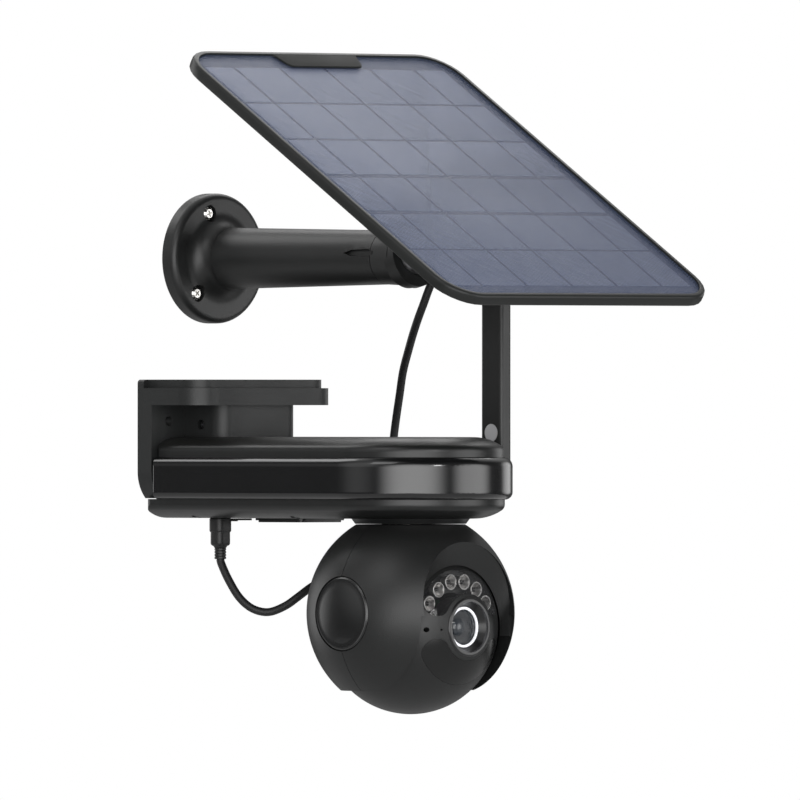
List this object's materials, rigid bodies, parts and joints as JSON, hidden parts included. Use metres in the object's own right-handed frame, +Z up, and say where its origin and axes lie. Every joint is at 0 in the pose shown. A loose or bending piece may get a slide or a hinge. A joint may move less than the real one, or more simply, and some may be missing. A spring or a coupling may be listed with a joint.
{
  "type": "solar-powered security camera",
  "caption": "Wall camera with a pan and tilt head under a bracket-hung body, fed by a cable from a solar panel on its own wall arm.",
  "frame": {"origin": "centre of the camera bracket on its back face, against the wall", "axes": "+Z up, +Y into the wall, -Y out from the wall, +X to the right for someone looking at the wall"},
  "size_m": [0.196, 0.2836, 0.349],
  "materials": {
    "satin_black": "satin",
    "gloss_black": "gloss",
    "soft_black": "matte",
    "dark_grey": "satin",
    "steel_screw": "satin",
    "cell_blue": "satin",
    "backing": "matte",
    "panel_glass": "clear",
    "circuit_board": "satin",
    "battery_wrap": "gloss",
    "button_grey": "satin",
    "gear_nylon": "matte",
    "clear_window": "clear",
    "reflector": "satin",
    "white_ring": "gloss",
    "lens_glass": "coated"
  },
  "bodies": {
    "root": {"wall_arm": "satin_black", "arm_wall_screws": "steel_screw", "wall_bracket": "satin_black", "mount_block": "satin_black", "lock_screw": "steel_screw", "top_cover": "satin_black", "glossy_band": "gloss_black", "lower_shell": "satin_black", "body_screws": "steel_screw", "battery_pack": "battery_wrap", "main_board": "circuit_board", "speaker": "dark_grey", "usb_socket": "steel_screw", "access_cover": "dark_grey", "access_screws": "steel_screw", "antenna_socket": "satin_black", "pan_motor": "steel_screw", "neck_ring": "satin_black", "solar_cable": "soft_black", "usb_plug": "soft_black"},
    "lock_sleeve": {"lock_sleeve": "satin_black"},
    "panel_mount": {"ball_stud": "soft_black", "mount_plate": "satin_black", "mount_screws": "steel_screw", "cable_gland": "soft_black"},
    "panel": {"turn_hub": "satin_black", "panel_back_cover": "satin_black", "panel_screws": "steel_screw", "junction_box": "dark_grey", "panel_frame": "dark_grey", "cell_board": "backing", "solar_cells": "cell_blue", "panel_glass": "panel_glass"},
    "usb_flap": {"usb_flap": "soft_black"},
    "power_button": {"power_button": "button_grey"},
    "antenna": {"antenna": "satin_black", "antenna_badge": "button_grey"},
    "pan_pinion": {"pan_pinion": "gear_nylon"},
    "yoke": {"pan_gear": "gear_nylon", "yoke_front": "satin_black", "yoke_rear": "satin_black", "side_caps": "gloss_black", "tilt_pins": "steel_screw"},
    "ball": {"ball_front": "satin_black", "ball_rear": "satin_black", "card_cover": "soft_black", "lamp_window": "clear_window", "lamp_board": "dark_grey", "ir_lamps": "reflector", "lens_bezel": "gloss_black", "lens_barrel": "dark_grey", "lens_ring": "white_ring", "lens_glass": "lens_glass", "sensor_board": "circuit_board", "pir_window": "gloss_black", "pir_sensor": "steel_screw", "tilt_motor": "steel_screw"}
  },
  "joints": [
    {"name": "sleeve_twist", "type": "hinge", "parent": "root", "child": "lock_sleeve", "pos_m": [0, -0.1528, 0.1009], "axis": [0, -1, 0], "range_deg": [0, 30]},
    {"name": "panel_tilt", "type": "hinge", "parent": "root", "child": "panel_mount", "pos_m": [0, -0.1528, 0.1009], "axis": [1, 0, 0], "range_deg": [-8, 40], "deforming": ["solar_cable"]},
    {"name": "panel_turn", "type": "hinge", "parent": "panel_mount", "child": "panel", "pos_m": [0, -0.18043, 0.14495], "axis": [0, -0.5314, 0.8471], "range_deg": [-180, 180]},
    {"name": "antenna_fold", "type": "hinge", "parent": "root", "child": "antenna", "pos_m": [0.0582, -0.157, -0.015], "axis": [1, 0, 0], "range_deg": [0, 90]},
    {"name": "pan", "type": "hinge", "parent": "root", "child": "yoke", "pos_m": [0, -0.1516, -0.0863], "axis": [0, 0, 1], "range_deg": [-177, 177]},
    {"name": "pinion_spin", "type": "hinge", "parent": "root", "child": "pan_pinion", "pos_m": [0, -0.1266, -0.03], "axis": [0, 0, 1], "range_deg": [-710, 710]},
    {"name": "tilt", "type": "hinge", "parent": "yoke", "child": "ball", "pos_m": [0, -0.1516, -0.0934], "axis": [1, 0, 0], "range_deg": [-15, 75]},
    {"name": "flap_open", "type": "hinge", "parent": "root", "child": "usb_flap", "pos_m": [-0.0166, -0.0343, -0.03765], "axis": [0, 1, 0], "range_deg": [0, 80]},
    {"name": "button_press", "type": "slide", "parent": "root", "child": "power_button", "axis": [0, 0, 1], "range_m": [0, 0.0008], "stiffness_N_per_m": 300}
  ],
  "couplings": [
    {"joint": "pinion_spin", "follows": "pan", "ratio": -4}
  ]
}
